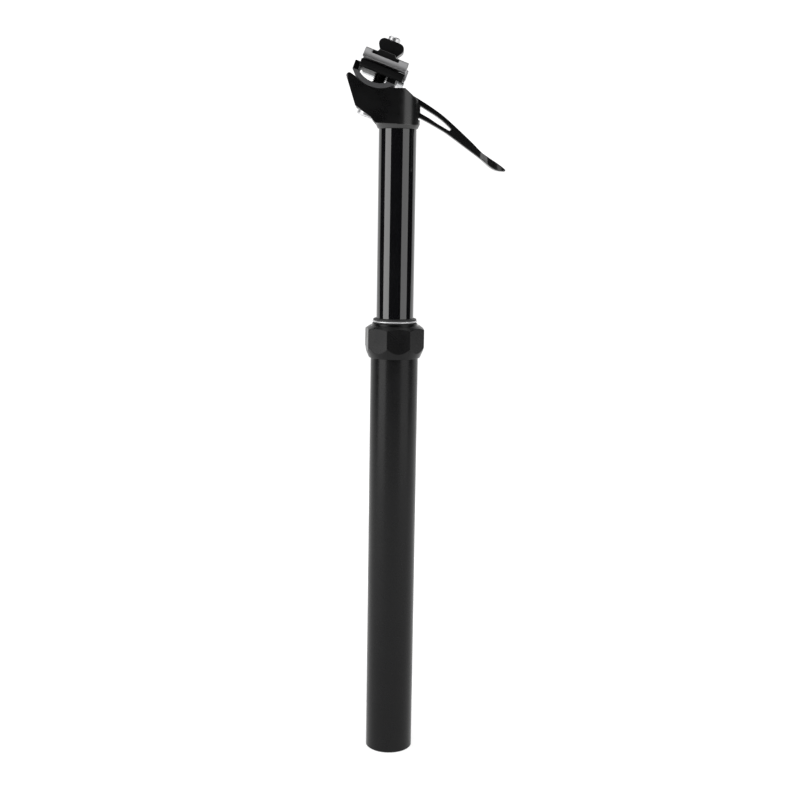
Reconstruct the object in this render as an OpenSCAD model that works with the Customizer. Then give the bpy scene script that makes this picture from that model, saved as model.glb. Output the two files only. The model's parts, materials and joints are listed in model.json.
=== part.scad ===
// Dropper seatpost, raised and lowered on a gas cartridge by a lever under the saddle.
// Sizes are in millimetres. The origin is the centre of the lower tube's foot, +Z runs up
// the post and +X points forward, the way the lever points. The post is drawn fully raised.

/* [Lower tube] */
// Outside diameter, the seat tube size of the bicycle frame
tube_od = 27.2; // [26.8:0.1:31.6]
// Wall of the lower tube
tube_wall = 1.5; // [1.3:0.05:1.7]
// Length of the lower tube, from its foot to the end of its thread
tube_len = 248; // [236:1:320]
// Chamfer at the foot
tube_chamfer = 0.6; // [0.2:0.1:1]
// Depth that the thread under the collar nut is turned down
thread_cut = 0.3; // [0.2:0.05:0.4]

/* [Collar nut] */
// How far each of the eight flats stands out past the tube
nut_rim = 2.4; // [1.8:0.1:4]
// Height of the octagon
nut_h = 18.5; // [17.5:0.1:26]
// Length of the tube's thread inside the nut
nut_thread = 13.1; // [11:0.1:15]
// Turn of the octagon about the post, in degrees
nut_turn = 31.3; // [0:0.1:45]
// Height of the turned taper at the nut's foot, at the corners
nut_foot_taper = 6.1; // [3:0.1:8]
// Height of the turned chamfer at the nut's top, at the corners
nut_top_taper = 2.2; // [1:0.1:4]
// Height of the round neck above the octagon
nut_neck_h = 1.2; // [1:0.1:3]
// Wall of the neck around the wiper
nut_neck_wall = 1.3; // [1:0.1:2]

/* [Wiper] */
// Thickness of the wiper around the sliding tube
wiper_wall = 1; // [0.8:0.1:1.2]
// Height of the lip above the neck
wiper_lip_h = 2.9; // [2.6:0.1:5]
// Rise of the lip's top, from its rim to the sliding tube
wiper_crown = 0.5; // [0.2:0.1:0.7]
// Wire of the ring that closes the lip
wiper_wire = 1; // [0.8:0.1:1.2]

/* [Sliding tube] */
// How far the saddle drops
travel = 100; // [60:5:125]
// Space between the sliding tube and the lower tube, for bushings and keys
slide_gap = 1.5; // [1.4:0.05:1.7]
// Wall of the sliding tube
slider_wall = 1.6; // [1.4:0.05:1.8]
// Length of sliding tube left showing at full drop
drop_margin = 5.7; // [3:0.1:15]
// Length of the bushing in the lower tube
upper_bush_len = 26; // [15:1:40]
// Length of the bushing on the sliding tube
lower_bush_len = 8; // [6:0.5:10]
// Depth of the lower bushing's groove
bush_groove = 0.3; // [0.2:0.05:0.4]
// Number of guide keys
key_count = 3; // [2:1:4]
// Diameter of a guide key
key_d = 2.6; // [2.4:0.05:2.8]
// Length of a guide key
key_len = 20; // [10:1:30]

/* [Foot] */
// Depth that the foot bolt sits inside the tube
foot_inset = 0.2; // [0:0.1:2]
// Thread diameter of the foot bolt
foot_bolt_d = 4; // [3:0.5:4.5]
// Diameter of the foot bolt's head
foot_head_d = 7; // [6:0.5:9]
// Height of the foot bolt's head
foot_head_h = 2.8; // [2.4:0.1:4]
// Width across the flats of the foot bolt's hexagon socket
foot_socket = 2.5; // [2:0.5:3]
// Length of the foot bolt's thread inside the rod
foot_thread = 9; // [6:0.5:14]
// Diameter of the foot washer
foot_washer_d = 12; // [10:0.5:16]
// Thickness of the foot washer
foot_washer_t = 1; // [0.6:0.1:2]
// Height of the plug that closes the tube
plug_h = 10; // [8:0.5:16]
// Depth of the rod's seat in the plug
rod_seat = 3; // [1.5:0.5:5]
// Thickness of the circlip under the plug
circlip_t = 1.2; // [1:0.1:1.5]
// Depth of the circlip's groove in the tube
circlip_groove = 0.5; // [0.3:0.05:0.7]
// Radial width of the circlip
circlip_w = 3; // [2:0.1:3.5]
// Height of the rubber bumper that ends the drop
bumper_h = 20.5; // [10:0.5:30]
// Gap left between the bumper and the sliding tube at full drop
bumper_gap = 0.5; // [0.3:0.1:2]

/* [Gas cartridge] */
// Wall of the cartridge tube
cartridge_wall = 1.3; // [1:0.05:1.5]
// Gap between the cartridge and the sliding tube
cartridge_gap = 0.2; // [0.1:0.05:0.3]
// Height of the ring that holds the cartridge in
retainer_h = 10; // [8:0.5:14]
// Depth of the retainer in the sliding tube's foot
retainer_inset = 1; // [0:0.1:3]
// Bore of the inner tube
inner_bore = 9; // [8.6:0.1:9.4]
// Wall of the inner tube
inner_wall = 0.8; // [0.6:0.05:1]
// Diameter of the piston rod
rod_d = 7; // [6.6:0.1:7.4]
// Diameter of the stud that carries the main piston
stud_d = 3; // [2.5:0.1:3.5]
// Height of the main piston
piston_h = 10; // [6:0.5:14]
// Gap between the main piston and the rod guide when the post is raised
top_out_gap = 0.3; // [0.2:0.1:2]
// Height of the rod guide
guide_h = 12; // [8:0.5:16]
// Height of the valve body
valve_h = 12; // [11:0.5:16]
// Diameter of the valve's push pin
pin_d = 4; // [3.6:0.1:4.2]
// Diameter of the poppet
poppet_d = 6; // [5.6:0.1:6.4]
// Height of the floating piston
float_h = 10; // [6:0.5:14]
// Depth of oil above the floating piston
float_oil = 9; // [5:0.5:20]
// Thickness of the seals
seal_t = 0.85; // [0.7:0.05:0.95]

/* [Head] */
// How far the head stands out past the sliding tube
head_rim = 1.7; // [1.2:0.1:3]
// Step from the sliding tube to the foot of the head's chamfer
collar_step = 0.6; // [0.3:0.1:1]
// Height of the chamfer at the head's foot
collar_h = 2.5; // [1.5:0.1:3]
// Depth of the head's spigot inside the sliding tube
spigot_len = 18.6; // [12:0.1:30]
// Setback of the clamp's tilt centre from the post
clamp_setback = 9.8; // [8.5:0.1:10.5]
// Height of the clamp's tilt centre above the head's foot
clamp_up = 37.7; // [36.5:0.1:42]
// Angle from straight down to the end of the cradle at the horn
cradle_wrap = 52; // [45:1:56]
// Rise of the flat land before the cradle over its lowest point
land_rise = 0.8; // [0.4:0.1:1.5]
// Forward end of the land
land_x = 3.9; // [2:0.1:5]
// Drop from the land to the head's front shoulder
shoulder_drop = 7.2; // [5:0.1:9]
// Distance of the horn's tip behind the tilt centre
horn_back = 17.1; // [16:0.1:18.5]
// Distance of the horn's tip below the tilt centre
horn_below = 9.8; // [8:0.1:11]
// Radius of the horn's tip
horn_r = 1.6; // [1:0.1:2]
// Distance of the heel behind the post
heel_back = 23.5; // [20:0.1:26]
// Height of the heel above the head's foot
heel_up = 11.8; // [9:0.1:14]
// Distance behind the post at which the head's underside bends down to the collar
bend_back = 15.1; // [13:0.1:17]
// Height of that bend above the head's foot
bend_up = 5.8; // [4:0.1:7]
// Radius of the rear corners, seen from above
rear_round = 1; // [0.5:0.5:6]

/* [Lever] */
// Distance of the lever's pivot before the post
pivot_x = 6.8; // [6.4:0.1:7.2]
// Height of the lever's pivot above the head's foot
pivot_up = 11.6; // [11:0.1:12.5]
// Diameter of the pivot pin
pivot_d = 4; // [3:0.1:4.4]
// Wall of the bush on the pivot pin
lever_bush_wall = 0.95; // [0.7:0.05:1.2]
// Radius of the lever's hub
hub_r = 5; // [4.6:0.1:5.2]
// Radius of the nose that presses the valve pin
nose_r = 2.5; // [2:0.1:2.8]
// Width of the lever's arm
lever_w = 8; // [6:0.1:9]
// Length of the straight stretch of the arm
arm_len = 30.1; // [20:0.1:45]
// Slope of the straight stretch of the arm, in degrees
arm_slope = 41.9; // [38:0.1:46]
// Width of the paddle at the lever's end
paddle_w = 14; // [10:0.1:20]
// Height of the open space below the pivot in the lever's slot
slot_drop = 6.6; // [6.2:0.1:6.9]
// Gap between the lever and the sides of its slot
slot_gap = 0.4; // [0.3:0.05:0.8]
// Thickness of head left over the blind end of the pivot pin
pin_cover = 2.5; // [2.2:0.1:3]

/* [Saddle clamp] */
// Tilt of the saddle rails, nose down, in degrees
clamp_tilt = 20.5; // [18:0.5:23]
// How far the clamp can be tilted from there each way, in degrees
tilt_swing = 6; // [3:0.5:7]
// Diameter of the saddle rails
rail_d = 7; // [6.8:0.1:8]
// Distance between the saddle rails
rail_spacing = 44; // [40:0.5:50]
// Distance of the saddle rails below the tilt centre
rail_below = 4.6; // [4.2:0.05:4.9]
// Wall of the upper clamp over a rail
upper_wall = 2.8; // [2.4:0.05:3.2]
// Wall of the lower clamp under a rail
lower_wall = 1.1; // [0.9:0.05:1.6]
// Length of the clamp along the rails
jaw_len = 24.6; // [22:0.1:32]
// Middle of the clamp, measured along the rails from the tilt centre
jaw_mid = 3.7; // [3:0.1:5]
// Gap between the clamp's two halves
jaw_gap = 1.1; // [0.8:0.1:2.6]
// Outer radius of the rocker
rocker_r = 16.6; // [16:0.1:17.2]
// Thickness of the rocker's curved band
rocker_band = 2.8; // [2:0.1:3.6]
// Half length of the rocker
rocker_half = 12.3; // [11.5:0.1:13]
// Thickness of the rocker's rear leg
rocker_leg = 3.1; // [2:0.1:3.6]
// Thickness of the rocker's front leg
front_leg = 4.9; // [4:0.1:5.2]
// Distance of the rear leg's top below the tilt centre
leg_top = 6; // [5:0.1:7]
// Distance of the rocker plate's underside below the tilt centre
plate_below = 8.5; // [8:0.1:9]
// Position of the clamp bolt along the rails, from the tilt centre
bolt_along = 3.1; // [2.6:0.1:3.6]
// Thread diameter of the clamp bolt
bolt_d = 7; // [6:0.1:7.4]
// Diameter of the clamp bolt's head
bolt_head_d = 10.5; // [10:0.1:11]
// Height of the clamp bolt's head
bolt_head_h = 6.7; // [4.5:0.1:7.5]
// Width across the flats of the clamp bolt's hexagon socket
bolt_socket = 5; // [4:0.5:6]
// How far the bolt's end stands out of the nut
bolt_proud = 2.8; // [1:0.1:5]
// Clearance of the clamp bolt in its holes
bolt_clear = 0.4; // [0.3:0.05:0.6]
// Half width of the rounded washer under the bolt's head
washer_half = 6; // [5.6:0.1:6.2]
// Thickness of that washer at its thinnest
washer_t = 1.7; // [1.2:0.1:2]
// Thickness of the head between the cradle and the washer's seat
seat_wall = 6.6; // [6:0.1:7.5]
// Depth of the nut's channel across the upper clamp
channel_depth = 2.4; // [1.2:0.05:2.45]
// Half length of the clamp nut along the rails
nut_half = 7.5; // [7:0.1:8]
// Half length of the clamp nut at its waist
nut_waist = 4.6; // [4.5:0.1:5]
// Radius of the hollow at that waist
waist_r = 1.6; // [1.2:0.1:2]
// Height of the clamp nut
clamp_nut_h = 11.7; // [10:0.1:14]
// Rounding of the clamp nut's two lobes
lobe_r = 3; // [2.4:0.1:3.2]
// Half width of the clamp nut's foot across the post
nut_across = 24; // [12:0.5:25]
// Half width of the clamp nut's lobes across the post
nut_lobe_half = 7; // [5.5:0.5:10]

/* [Fits] */
// Radial clearance of sliding and turning fits
run_clear = 0.05; // [0.03:0.01:0.1]
// Radial clearance of pressed, glued and screwed fits
fit_clear = 0.03; // [0.02:0.01:0.05]
// Gap between the curved faces of the tilting clamp and the head
seat_gap = 0.3; // [0.2:0.05:0.4]

/* [Hidden] */
$fn = 96;

// Overshoot of cuts that break through a face
cut = 1;
black = "#1b1b1d";
satin_black = "#232326";
steel = "#b9bbbf";
brass = "#b79a55";
rubber = "#2a2a2a";
alloy = "#8f9297";
acetal = "#d8d3c6";

// Radii of the nested tubes, from the outside in
tube_r = tube_od / 2;
tube_ir = tube_r - tube_wall;
thread_r = tube_r - thread_cut;
slider_r = tube_ir - slide_gap;
slider_ir = slider_r - slider_wall;
cartridge_r = slider_ir - cartridge_gap;
cartridge_ir = cartridge_r - cartridge_wall;
inner_ir = inner_bore / 2;
inner_r = inner_ir + inner_wall;
rod_r = rod_d / 2;
key_ring_r = slider_r + slide_gap / 2;

// Heights of the fixed pieces, from the foot up
foot_washer_z = foot_inset + foot_head_h;
plug_z0 = foot_washer_z + foot_washer_t;
plug_z1 = plug_z0 + plug_h;
bumper_z1 = plug_z1 + bumper_h;
nut_z0 = tube_len - nut_thread;
nut_z1 = nut_z0 + nut_h;
neck_z1 = nut_z1 + nut_neck_h;
wiper_z0 = tube_len + fit_clear;
wiper_z1 = neck_z1 + wiper_lip_h;
wiper_r = slider_r + wiper_wall;
wire_ring_r = wiper_r + wiper_wire * 0.75;
wire_z = neck_z1 + wiper_wire * 1.1;

// Heights of the sliding pieces with the post raised
slider_z0 = bumper_z1 + bumper_gap + travel;
head_z = wiper_z1 + drop_margin + travel;
lower_bush_z = slider_z0 + 1;
key_z0 = lower_bush_z + lower_bush_len + 4;
retainer_z0 = slider_z0 + retainer_inset;
cartridge_z0 = retainer_z0 + retainer_h;
guide_z1 = cartridge_z0 + guide_h;
cartridge_z1 = head_z - spigot_len;
valve_z0 = cartridge_z1 - valve_h;
piston_z0 = guide_z1 + top_out_gap;
piston_z1 = piston_z0 + piston_h;
float_z1 = valve_z0 - float_oil;
float_z0 = float_z1 - float_h;
rod_z0 = plug_z1 - rod_seat;

// Valve passages, from the valve body's underside up
pin_r = pin_d / 2;
poppet_r = poppet_d / 2;
poppet_t = 1.2;
lower_chamber_h = 3;
valve_web = 1.5;
upper_chamber_h = 3;
port_r = 0.8;
seat_hole_r = pin_r + 0.5;
valve_seat_z = valve_z0 + lower_chamber_h;
upper_chamber_z = valve_seat_z + valve_web;
port_z = upper_chamber_z + upper_chamber_h / 2;
port_ring_r = (inner_r + cartridge_ir) / 2;
pin_seal_z = upper_chamber_z + upper_chamber_h + 0.8;
poppet_gap = 0.3;

// Head and lever
head_r = slider_r + head_rim;
collar_z1 = head_z + collar_h;
clamp_c = [-clamp_setback, head_z + clamp_up];
cradle_r = rocker_r + seat_gap;
land_z = clamp_c[1] - cradle_r + land_rise;
horn = clamp_c - [horn_back, horn_below];
heel = [-heel_back, head_z + heel_up];
cradle_end = clamp_c - cradle_r * [sin(cradle_wrap), cos(cradle_wrap)];
pivot = [pivot_x, head_z + pivot_up];
nose_up = 0.6;
nose = [-pivot_x, nose_up];
press_gap = 0.3;
pin_top = pivot[1] + nose_up - nose_r - press_gap;
slot_z = pivot[1] - slot_drop;
slot_x = -nose_r - 0.9;
slot_half = lever_w / 2 + slot_gap;
pivot_r = pivot_d / 2;
pivot_side = sqrt(head_r * head_r - pivot_x * pivot_x);
lever_bush_r = pivot_r + run_clear + lever_bush_wall;

// Saddle clamp, in the clamp's own frame
upper_ear_r = rail_d / 2 + upper_wall;
lower_ear_r = rail_d / 2 + lower_wall;
clamp_half_w = head_r - seat_gap;
seat_r = cradle_r + seat_wall;
washer_under = -(seat_r + seat_gap + washer_t);
bolt_r = bolt_d / 2;
upper_top = -rail_below + upper_ear_r;
channel_floor = upper_top - channel_depth;
clamp_nut_top = channel_floor + clamp_nut_h;
bolt_end = clamp_nut_top + bolt_proud;
pocket_gap = 0.4;
foot_sink = 0.5;
jaw_from = jaw_mid - jaw_len / 2;
jaw_to = jaw_mid + jaw_len / 2;

// Point where a line from a point touches a circle, on the side given by 1 or -1
function tangent_point(from, centre, r, side) =
    let(reach = from - centre)
    let(turn = atan2(reach[1], reach[0]) + side * acos(r / norm(reach)))
    centre + r * [cos(turn), sin(turn)];

// Point of the clamp's frame in the side view, with the clamp swung from its drawn tilt
function swung(swing, along, up) =
    let(turn = clamp_tilt + swing)
    clamp_c + [along * cos(turn) + up * sin(turn), up * cos(turn) - along * sin(turn)];

// Cylinder standing on the given height
module post_disc(r, z0, z1) translate([0, 0, z0]) cylinder(r = r, h = z1 - z0);

// Ring around the post
module post_ring(r_out, r_in, z0, z1) {
    difference() {
        post_disc(r_out, z0, z1);
        post_disc(r_in, z0 - cut, z1 + cut);
    }
}

// Side outline, drawn in X and Z, made solid across the post
module across(half) rotate([90, 0, 0]) linear_extrude(2 * half, center = true) children();

// Cross section, drawn in Y and Z, made solid along the rails
module along_rails(from, to) {
    translate([from, 0, 0]) rotate([90, 0, 90]) linear_extrude(to - from) children();
}

// Frame of the saddle clamp, with the rails along X
module in_clamp() translate([clamp_c[0], 0, clamp_c[1]]) rotate([0, clamp_tilt, 0]) children();

// Round hole for the clamp bolt
module clamp_bolt_hole(clear) {
    translate([bolt_along, 0, -2 * seat_r]) cylinder(r = bolt_r + clear, h = 4 * seat_r);
}

// Places for the guide keys around the post
module at_keys() {
    for (i = [0 : key_count - 1])
        rotate(90 + i * 360 / key_count) translate([key_ring_r, 0, 0]) children();
}

module lower_tube() {
    groove_z0 = plug_z0 - circlip_t - fit_clear;
    color(satin_black) difference() {
        rotate_extrude() polygon([
            [tube_ir, 0], [tube_r - tube_chamfer, 0], [tube_r, tube_chamfer], [tube_r, nut_z0],
            [thread_r, nut_z0], [thread_r, tube_len], [tube_ir, tube_len]
        ]);
        post_disc(tube_ir + circlip_groove + fit_clear, groove_z0, plug_z0 + fit_clear);
        at_keys() post_disc(key_d / 2 + run_clear, bumper_z1, tube_len + cut);
    }
}

module collar_nut() {
    flat_r = tube_r + nut_rim;
    corner_r = flat_r / cos(22.5);
    foot_r = flat_r - 0.55 * nut_rim;
    top_r = flat_r - 0.75 * nut_rim;
    neck_r = wiper_r + nut_neck_wall;
    past_foot = nut_foot_taper * cut / (corner_r - foot_r);
    past_top = nut_top_taper * cut / (corner_r - top_r);
    color(black) difference() {
        union() {
            intersection() {
                rotate(nut_turn) translate([0, 0, nut_z0]) cylinder(r = corner_r, h = nut_h, $fn = 8);
                rotate_extrude() polygon([
                    [0, nut_z0], [foot_r, nut_z0],
                    [corner_r + cut, nut_z0 + nut_foot_taper + past_foot],
                    [corner_r + cut, nut_z1 - nut_top_taper - past_top],
                    [top_r, nut_z1], [0, nut_z1]
                ]);
            }
            post_disc(neck_r, nut_z1 - cut, neck_z1);
        }
        post_disc(thread_r + fit_clear, nut_z0 - cut, wiper_z0);
        post_disc(wiper_r + fit_clear, nut_z0, neck_z1 + cut);
    }
}

module wiper_seal() {
    bore = slider_r + run_clear;
    flange_r = wire_ring_r;
    color(rubber) difference() {
        rotate_extrude() polygon([
            [bore, wiper_z0], [wiper_r, wiper_z0], [wiper_r, neck_z1], [flange_r, neck_z1],
            [flange_r, wiper_z1 - wiper_crown], [bore + 0.4, wiper_z1], [bore, wiper_z1]
        ]);
        translate([0, 0, wire_z]) rotate_extrude()
            translate([wire_ring_r, 0]) circle(wiper_wire / 2 + fit_clear, $fn = 32);
    }
}

module wiper_ring() {
    color(steel) translate([0, 0, wire_z]) rotate_extrude()
        translate([wire_ring_r, 0]) circle(wiper_wire / 2, $fn = 32);
}

module upper_bushing() {
    color(acetal) post_ring(
        tube_ir - fit_clear, slider_r + run_clear, tube_len - upper_bush_len, tube_len
    );
}

module bottom_plug() {
    color(alloy) difference() {
        post_disc(tube_ir - fit_clear, plug_z0, plug_z1);
        post_disc(foot_bolt_d / 2 + fit_clear, plug_z0 - cut, plug_z1 + cut);
        post_disc(rod_r + fit_clear, rod_z0, plug_z1 + cut);
    }
}

module plug_circlip() {
    mouth = 8;
    color(steel) difference() {
        post_ring(
            tube_ir + circlip_groove, tube_ir + circlip_groove - circlip_w,
            plug_z0 - circlip_t, plug_z0
        );
        translate([0, -mouth / 2, plug_z0 - circlip_t - cut]) cube([tube_od, mouth, circlip_t + 2 * cut]);
    }
}

module foot_bolt() {
    socket_depth = foot_head_h * 0.6;
    color(steel) difference() {
        union() {
            post_disc(foot_head_d / 2, foot_inset, foot_washer_z);
            post_disc(foot_bolt_d / 2, foot_inset, rod_z0 + foot_thread);
        }
        translate([0, 0, foot_inset - cut])
            cylinder(d = foot_socket / cos(30), h = socket_depth + cut, $fn = 6);
    }
}

module foot_washer() {
    color(steel) post_ring(
        foot_washer_d / 2, foot_bolt_d / 2 + fit_clear, foot_washer_z, plug_z0
    );
}

module bottom_out_bumper() {
    color(rubber) post_ring(tube_ir - 0.6, rod_r + 0.4, plug_z1, bumper_z1);
}

module piston_rod() {
    color(steel) difference() {
        union() {
            post_disc(rod_r, rod_z0, piston_z0);
            post_disc(stud_d / 2, rod_z0, piston_z1);
        }
        post_disc(foot_bolt_d / 2 + fit_clear, rod_z0 - cut, rod_z0 + foot_thread + fit_clear);
    }
}

module main_piston() {
    mid = (piston_z0 + piston_z1) / 2;
    color(alloy) difference() {
        post_ring(inner_ir - run_clear, stud_d / 2 + fit_clear, piston_z0, piston_z1);
        post_ring(inner_ir + cut, inner_ir - run_clear - seal_t, mid - seal_t, mid + seal_t);
    }
}

module piston_seal() {
    mid = (piston_z0 + piston_z1) / 2;
    outer = inner_ir - run_clear / 2;
    color(rubber) post_ring(outer, outer - seal_t, mid - seal_t + fit_clear, mid + seal_t - fit_clear);
}

module stanchion() {
    color(black) difference() {
        post_ring(slider_r, slider_ir, slider_z0, head_z);
        post_ring(
            slider_r + cut, slider_r - bush_groove,
            lower_bush_z - fit_clear, lower_bush_z + lower_bush_len + fit_clear
        );
        at_keys() post_disc(key_d / 2 + fit_clear, key_z0 - fit_clear, key_z0 + key_len + fit_clear);
    }
}

module lower_bushing() {
    color(acetal) post_ring(
        tube_ir - run_clear, slider_r - bush_groove + fit_clear,
        lower_bush_z, lower_bush_z + lower_bush_len
    );
}

module guide_keys() {
    color(brass) at_keys() post_disc(key_d / 2, key_z0, key_z0 + key_len);
}

module cartridge_tube() {
    color(alloy) post_ring(cartridge_r, cartridge_ir, cartridge_z0, cartridge_z1);
}

module cartridge_retainer() {
    spanner_hole_r = 1;
    spanner_ring_r = (rod_r + slider_ir) / 2;
    color(alloy) difference() {
        post_ring(slider_ir - fit_clear, rod_r + 0.4, retainer_z0, cartridge_z0);
        for (side = [-1, 1])
            translate([0, side * spanner_ring_r, 0])
                post_disc(spanner_hole_r, retainer_z0 - cut, retainer_z0 + 3);
    }
}

module rod_guide() {
    mid = (cartridge_z0 + guide_z1) / 2;
    color(acetal) difference() {
        post_ring(cartridge_ir - fit_clear, rod_r + run_clear, cartridge_z0, guide_z1);
        post_disc(rod_r + run_clear + seal_t, mid - seal_t, mid + seal_t);
    }
}

module rod_seal() {
    mid = (cartridge_z0 + guide_z1) / 2;
    inner = rod_r + run_clear / 2;
    color(rubber) post_ring(inner + seal_t, inner, mid - seal_t + fit_clear, mid + seal_t - fit_clear);
}

module inner_tube() {
    color(alloy) post_ring(inner_r, inner_ir, guide_z1, valve_z0);
}

module valve_body() {
    port_count = 4;
    color(alloy) difference() {
        post_disc(cartridge_ir - fit_clear, valve_z0, cartridge_z1);
        post_disc(poppet_r + 0.4, valve_z0 - cut, valve_seat_z);
        post_disc(seat_hole_r, valve_z0, upper_chamber_z);
        post_disc(poppet_r, upper_chamber_z, upper_chamber_z + upper_chamber_h);
        post_disc(pin_r + run_clear, valve_z0, cartridge_z1 + cut);
        post_disc(pin_r + run_clear + seal_t, pin_seal_z, pin_seal_z + 2 * seal_t);
        for (i = [0 : port_count - 1]) {
            rotate(i * 360 / port_count) translate([0, 0, port_z])
                rotate([0, 90, 0]) cylinder(r = port_r, h = port_ring_r, $fn = 32);
            rotate(i * 360 / port_count) translate([port_ring_r, 0, valve_z0 - cut])
                cylinder(r = port_r, h = port_z - valve_z0 + cut, $fn = 32);
        }
    }
}

module valve_seal() {
    inner = pin_r + run_clear / 2;
    color(rubber) post_ring(
        inner + seal_t, inner, pin_seal_z + fit_clear, pin_seal_z + 2 * seal_t - fit_clear
    );
}

module floating_piston() {
    mid = (float_z0 + float_z1) / 2;
    color(alloy) difference() {
        post_ring(cartridge_ir - run_clear, inner_r + run_clear, float_z0, float_z1);
        post_ring(cartridge_ir + cut, cartridge_ir - run_clear - seal_t, mid + seal_t, mid + 3 * seal_t);
        post_disc(inner_r + run_clear + seal_t, mid - 3 * seal_t, mid - seal_t);
    }
}

module floating_piston_seals() {
    mid = (float_z0 + float_z1) / 2;
    outer = cartridge_ir - run_clear / 2;
    inner = inner_r + run_clear / 2;
    color(rubber) {
        post_ring(outer, outer - seal_t, mid + seal_t + fit_clear, mid + 3 * seal_t - fit_clear);
        post_ring(inner + seal_t, inner, mid - 3 * seal_t + fit_clear, mid - seal_t - fit_clear);
    }
}

module valve_pin() {
    poppet_z1 = valve_seat_z - poppet_gap;
    color(steel) {
        post_disc(pin_r, poppet_z1 - poppet_t, pin_top);
        post_disc(poppet_r, poppet_z1 - poppet_t, poppet_z1);
    }
}

// Side outline of the head, with the cradle cut out
module head_outline() {
    horn_in = tangent_point(cradle_end, horn, horn_r, 1);
    horn_out = tangent_point(heel, horn, horn_r, -1);
    past_end = cradle_end + 0.4 * (cradle_end - horn_in);
    difference() {
        union() {
            polygon([
                [head_r, collar_z1], [head_r, land_z - shoulder_drop], [land_x, land_z],
                [clamp_c[0], land_z], past_end, horn_in, horn_out, heel,
                [-bend_back, head_z + bend_up], [-head_r, collar_z1]
            ]);
            translate(horn) circle(horn_r);
        }
        translate(clamp_c) circle(cradle_r, $fn = 180);
    }
}

// Plan of the head: round in front, straight sides, rounded corners behind
module head_plan() {
    rear = horn[0] - horn_r;
    circle(head_r);
    translate([rear + rear_round, -head_r]) square([-rear - rear_round, 2 * head_r]);
    translate([rear, -head_r + rear_round]) square([-rear, 2 * (head_r - rear_round)]);
    for (side = [-1, 1])
        translate([rear + rear_round, side * (head_r - rear_round)]) circle(rear_round);
}

// Slot and pocket that let the clamp bolt and its washer swing
module bolt_way() {
    slot_side = bolt_r + bolt_clear;
    pocket_side = washer_half + pocket_gap;
    across(slot_side) polygon([
        swung(tilt_swing, bolt_along - slot_side, 0),
        swung(tilt_swing, bolt_along - slot_side, washer_under),
        swung(-tilt_swing, bolt_along + slot_side, washer_under),
        swung(-tilt_swing, bolt_along + slot_side, 0)
    ]);
    across(pocket_side) intersection() {
        difference() {
            polygon([
                swung(tilt_swing, bolt_along - pocket_side, -cradle_r),
                swung(tilt_swing, bolt_along - pocket_side, -2 * seat_r),
                swung(-tilt_swing, bolt_along + pocket_side, -2 * seat_r),
                swung(-tilt_swing, bolt_along + pocket_side, -cradle_r)
            ]);
            translate(clamp_c) circle(seat_r, $fn = 180);
        }
        translate([-2 * seat_r, collar_z1 + fit_clear]) square(2 * seat_r);
    }
}

module head() {
    color(black) difference() {
        union() {
            intersection() {
                across(head_r + cut) head_outline();
                translate([0, 0, collar_z1]) linear_extrude(2 * clamp_up) head_plan();
            }
            rotate_extrude() polygon([
                [0, head_z], [slider_r + collar_step, head_z], [head_r, collar_z1], [0, collar_z1]
            ]);
            post_disc(slider_ir - fit_clear, cartridge_z1, head_z);
        }
        post_disc(pin_r + run_clear, cartridge_z1 - cut, slot_z + cut);
        translate([slot_x, -slot_half, slot_z])
            cube([2 * head_r, 2 * slot_half, clamp_up]);
        translate([pivot[0], 0, pivot[1]]) rotate([-90, 0, 0])
            translate([0, 0, pin_cover - pivot_side]) cylinder(r = pivot_r + fit_clear, h = 2 * head_r);
        bolt_way();
    }
}

module lever_pivot_pin() {
    color(steel) translate([pivot[0], 0, pivot[1]]) rotate([-90, 0, 0])
        translate([0, 0, pin_cover - pivot_side])
            cylinder(r = pivot_r, h = 2 * pivot_side - pin_cover - fit_clear);
}

// Start of the paddle, on the top edge of the arm
paddle_start = [18.1, -3.6] + arm_len * [cos(arm_slope), -sin(arm_slope)];
paddle_reach = 13.8;

// Side outline of the lever's arm, around its pivot, from the nose to the paddle
module arm_outline() {
    polygon([
        [1.6, 6.6], [11.2, 1.0], [18.1, -3.6], paddle_start, paddle_start + [3.5, -2.6],
        paddle_start + [11.7, -7.8], paddle_start + [paddle_reach, -9.6],
        paddle_start + [13.1, -10.3], paddle_start + [9.2, -10.4], paddle_start + [5.8, -9.4],
        paddle_start + [2.7, -7.1], paddle_start + [-0.8, -3.7], [21.8, -14.9], [5.6, -5.7],
        [-0.2, -0.8] * hub_r, [-0.2, -0.4] * hub_r, nose + [0.1, -0.97] * nose_r,
        nose + [-0.4, 0.9] * nose_r, [-1.6, 6.4]
    ]);
}

// Open window between the arm's two strands
module arm_window() {
    polygon([[5.6, 1.1], [11.3, -2.5], [17.4, -6.6], [23, -11.3], [22.2, -12.2], [5.6, -2.4]]);
}

// Plan of the lever: a straight arm that widens to a round paddle
module lever_plan() {
    start = paddle_start[0];
    tip = start + paddle_reach;
    half = paddle_w / 2;
    translate([-2 * pivot_x, -lever_w / 2]) square([start + 2 * pivot_x, lever_w]);
    polygon([
        [start - 2, -lever_w / 2], [start + 3.7, -half], [tip - half, -half], [tip - half, half],
        [start + 3.7, half], [start - 2, lever_w / 2]
    ]);
    translate([tip - half, 0]) circle(half);
}

module lever() {
    color(black) translate([pivot[0], 0, pivot[1]]) difference() {
        union() {
            intersection() {
                across(paddle_w) arm_outline();
                translate([0, 0, -2 * paddle_reach - arm_len])
                    linear_extrude(2 * (2 * paddle_reach + arm_len)) lever_plan();
            }
            across(lever_w / 2) circle(hub_r);
            across(lever_w / 2) translate(nose) circle(nose_r);
        }
        across(lever_w) arm_window();
        across(lever_w) circle(lever_bush_r + fit_clear);
    }
}

module lever_bush() {
    color(brass) translate([pivot[0], 0, pivot[1]]) rotate([90, 0, 0]) difference() {
        cylinder(r = lever_bush_r, h = lever_w, center = true);
        cylinder(r = pivot_r + run_clear, h = 2 * lever_w, center = true);
    }
}

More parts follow.
